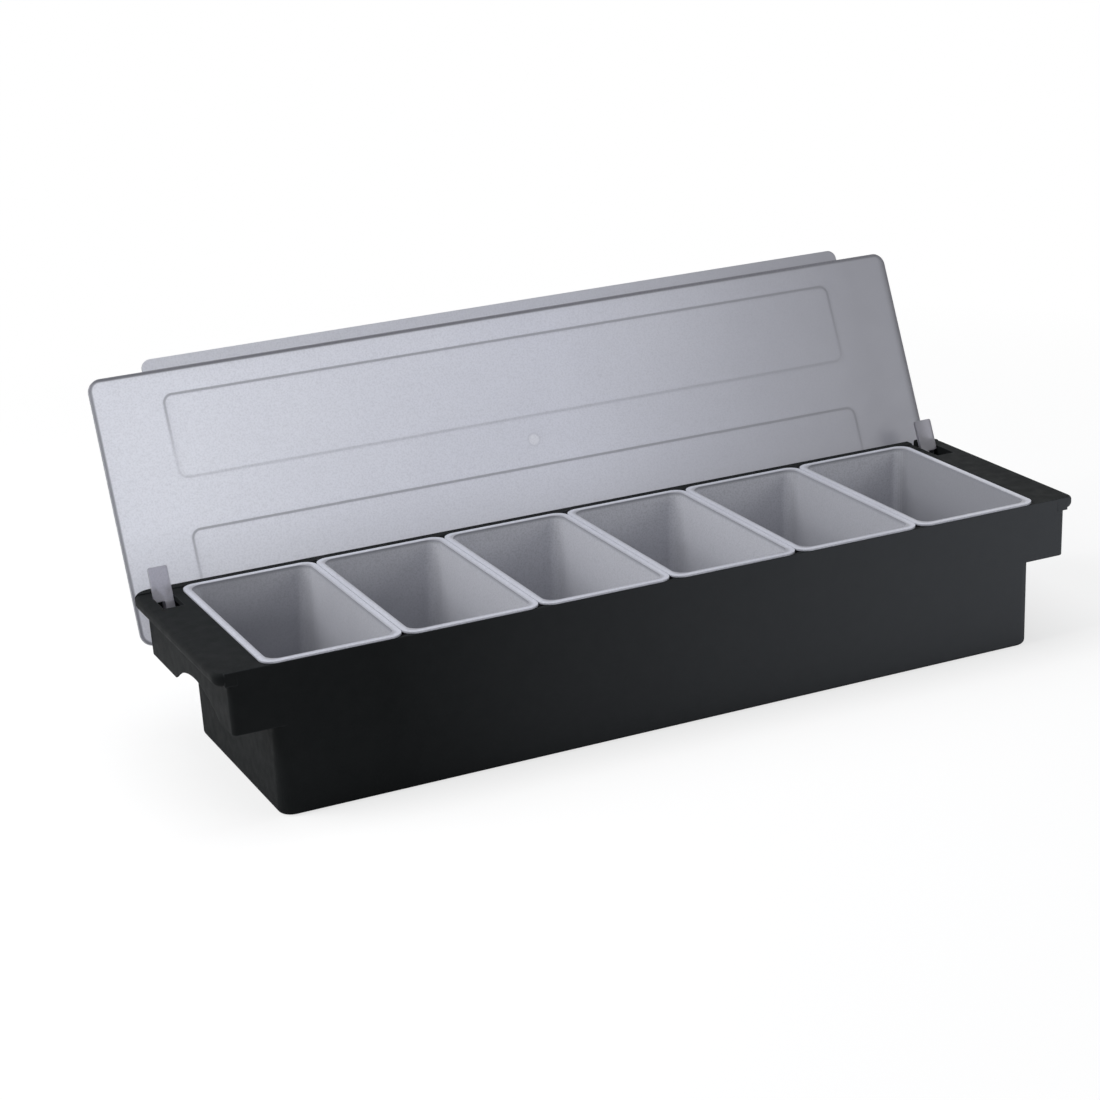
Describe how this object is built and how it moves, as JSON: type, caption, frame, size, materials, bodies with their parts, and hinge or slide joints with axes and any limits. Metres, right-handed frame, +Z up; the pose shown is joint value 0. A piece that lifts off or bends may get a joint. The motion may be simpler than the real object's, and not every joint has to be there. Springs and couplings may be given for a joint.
{
  "type": "bar condiment caddy",
  "caption": "Long black counter caddy holding a row of lift-out condiment trays under one clear lid that hinges at the back.",
  "frame": {"origin": "at table level, under the middle of the base", "axes": "+X along the row of trays to the right as seen from the front, +Y to the hinge side at the back, +Z up"},
  "size_m": [0.497, 0.198, 0.1911],
  "materials": {
    "base": "fine textured satin black moulding",
    "tray": "smooth translucent white moulding",
    "lid": "clear moulding with a light grey tint"
  },
  "bodies": {
    "base": {"base": "base"},
    "tray_1": {"tray_1": "tray"},
    "tray_2": {"tray_2": "tray"},
    "tray_3": {"tray_3": "tray"},
    "tray_4": {"tray_4": "tray"},
    "tray_5": {"tray_5": "tray"},
    "tray_6": {"tray_6": "tray"},
    "lid": {"lid": "lid"}
  },
  "joints": [
    {"name": "lid_hinge", "type": "hinge", "parent": "base", "child": "lid", "pos_m": [0, 0.0625, 0.075], "axis": [-1, 0, 0], "range_deg": [-114, 0]},
    {"name": "tray_1_lift", "type": "slide", "parent": "base", "child": "tray_1", "axis": [0, 0, 1], "range_m": [0, 0.085]},
    {"name": "tray_2_lift", "type": "slide", "parent": "base", "child": "tray_2", "axis": [0, 0, 1], "range_m": [0, 0.085]},
    {"name": "tray_3_lift", "type": "slide", "parent": "base", "child": "tray_3", "axis": [0, 0, 1], "range_m": [0, 0.085]},
    {"name": "tray_4_lift", "type": "slide", "parent": "base", "child": "tray_4", "axis": [0, 0, 1], "range_m": [0, 0.085]},
    {"name": "tray_5_lift", "type": "slide", "parent": "base", "child": "tray_5", "axis": [0, 0, 1], "range_m": [0, 0.085]},
    {"name": "tray_6_lift", "type": "slide", "parent": "base", "child": "tray_6", "axis": [0, 0, 1], "range_m": [0, 0.085]}
  ]
}
